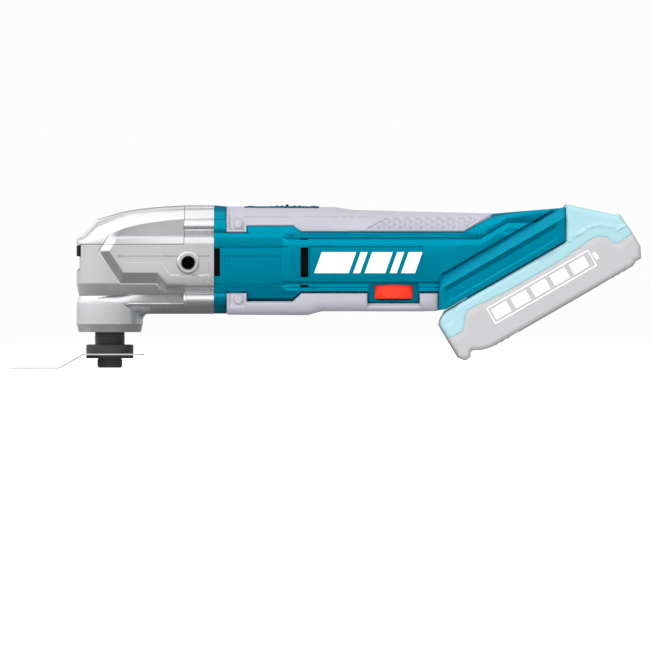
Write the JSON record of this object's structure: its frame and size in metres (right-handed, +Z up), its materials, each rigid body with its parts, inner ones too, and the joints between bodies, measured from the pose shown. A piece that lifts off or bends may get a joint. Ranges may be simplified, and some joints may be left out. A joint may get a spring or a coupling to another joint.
{
  "type": "oscillating multi-tool",
  "caption": "Cordless oscillating multi-tool: angled gear head with a bent saw blade, slim two-part body with soft grips, thumbwheel, slide switch and tilted slide-on battery pack.",
  "frame": {"origin": "middle of the outline's length and width, at the height of the blade's underside", "axes": "+X from the blade to the battery pack along the body, +Y to the tool's right side, +Z up, away from the blade"},
  "size_m": [0.3676, 0.076, 0.0967],
  "materials": {
    "cast_alloy": "satin",
    "teal_plastic": "satin",
    "grey_rubber": "matt",
    "orange_plastic": "satin",
    "black_plastic": "satin",
    "smoked_lens": "gloss",
    "black_steel": "black oxide",
    "blade_steel": "ground",
    "bright_steel": "bright",
    "motor_steel": "zinc plated",
    "ferrite": "sintered",
    "copper": "bright",
    "carbon": "matt",
    "circuit_board": "satin",
    "pale_cyan_plastic": "satin",
    "pale_grey_plastic": "satin",
    "cell_wrap": "satin"
  },
  "bodies": {
    "tool_body": {"gear_head_housing": "cast_alloy", "head_top_cover": "cast_alloy", "lamp_window": "smoked_lens", "left_body_shell": "teal_plastic", "right_body_shell": "teal_plastic", "upper_grip_left": "grey_rubber", "upper_grip_right": "grey_rubber", "lower_grip_left": "grey_rubber", "lower_grip_right": "grey_rubber", "switch_plate": "teal_plastic", "motor_can": "motor_steel", "motor_end_bell": "black_plastic", "stator_magnet_left": "ferrite", "stator_magnet_right": "ferrite", "carbon_brush_left": "carbon", "carbon_brush_right": "carbon", "motor_front_bearing": "bright_steel", "motor_rear_bearing": "bright_steel", "spindle_upper_bearing": "bright_steel", "spindle_lower_bearing": "bright_steel", "spindle_seal": "black_plastic", "head_screw_1": "bright_steel", "head_screw_2": "bright_steel", "head_screw_3": "bright_steel", "head_screw_4": "bright_steel", "shell_screw_1": "bright_steel", "shell_screw_2": "bright_steel", "shell_screw_3": "bright_steel", "shell_screw_4": "bright_steel", "switch_unit": "black_plastic", "speed_potentiometer": "black_plastic", "control_board": "circuit_board", "terminal_block": "black_plastic", "contact_negative": "copper", "contact_positive": "copper"},
    "oscillating_spindle": {"spindle": "black_steel", "oscillating_fork": "bright_steel", "saw_blade": "blade_steel", "clamp_washer": "black_steel", "clamp_bolt": "black_steel"},
    "motor_rotor": {"rotor_shaft": "bright_steel", "eccentric_bearing": "bright_steel", "counterweight": "bright_steel", "cooling_fan": "black_plastic", "armature_core": "motor_steel", "armature_winding": "copper", "commutator": "copper"},
    "slide_switch": {"switch_slider": "black_plastic", "switch_link": "black_plastic"},
    "speed_dial_wheel": {"speed_dial": "orange_plastic"},
    "battery_pack": {"battery_upper_case": "pale_cyan_plastic", "battery_lower_case": "pale_grey_plastic", "battery_cell_1": "cell_wrap", "battery_cell_2": "cell_wrap", "battery_cell_3": "cell_wrap", "battery_cell_4": "cell_wrap", "battery_cell_5": "cell_wrap", "battery_board": "circuit_board", "latch_spring": "bright_steel"},
    "release_button": {"battery_latch": "pale_grey_plastic"}
  },
  "joints": [
    {"name": "spindle_oscillation", "type": "hinge", "parent": "tool_body", "child": "oscillating_spindle", "pos_m": [-0.12432, 0, 0.06315], "axis": [0, 0, 1], "range_deg": [-1.6, 1.6]},
    {"name": "motor_spin", "type": "hinge", "parent": "tool_body", "child": "motor_rotor", "pos_m": [-0.02432, 0, 0.06315], "axis": [1, 0, 0], "continuous": true},
    {"name": "power_switch", "type": "slide", "parent": "tool_body", "child": "slide_switch", "axis": [-1, 0, 0], "range_m": [0, 0.007]},
    {"name": "speed_dial_turn", "type": "hinge", "parent": "tool_body", "child": "speed_dial_wheel", "pos_m": [0.04038, -0.008, 0.04515], "axis": [0, 0, 1], "range_deg": [0, 270]},
    {"name": "battery_slide", "type": "slide", "parent": "tool_body", "child": "battery_pack", "axis": [0.866, 0, 0.5], "range_m": [0, 0.1]},
    {"name": "battery_release", "type": "slide", "parent": "battery_pack", "child": "release_button", "axis": [0.5, 0, -0.866], "range_m": [0, 0.0035], "stiffness_N_per_m": 800, "springref_m": -0.002, "deforming": ["latch_spring"]}
  ]
}
